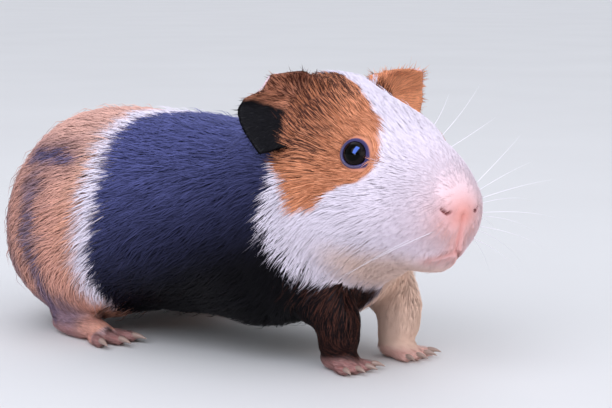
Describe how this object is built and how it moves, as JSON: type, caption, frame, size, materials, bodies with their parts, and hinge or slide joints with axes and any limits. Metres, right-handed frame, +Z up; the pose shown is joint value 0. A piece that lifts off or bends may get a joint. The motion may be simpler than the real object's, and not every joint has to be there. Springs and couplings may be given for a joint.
{
  "type": "guinea pig",
  "caption": "Life-size still model of a short-haired tricolour guinea pig, crouched on its feet with the head raised and turned to its right.",
  "frame": {"origin": "middle of the box that holds the animal, on the floor under its feet", "axes": "+X from the rump to the head, +Y to the animal's left, +Z up"},
  "size_m": [0.1928, 0.0916, 0.0929],
  "materials": {
    "coat_white": "soft short fur",
    "coat_pale": "soft short fur",
    "coat_ginger": "soft short fur",
    "coat_black": "sleek short fur",
    "eye": "wet gloss",
    "skin": "bare skin",
    "claw": "horn"
  },
  "bodies": {
    "root": {"head": "coat_white", "neck": "coat_black", "trunk": "coat_black", "foreleg_left": "coat_pale", "foreleg_right": "coat_black", "hindleg_left": "coat_ginger", "hindleg_right": "coat_ginger", "ear_left": "coat_ginger", "ear_right": "coat_black", "eye_left": "eye", "eye_right": "eye"}
  },
  "joints": []
}
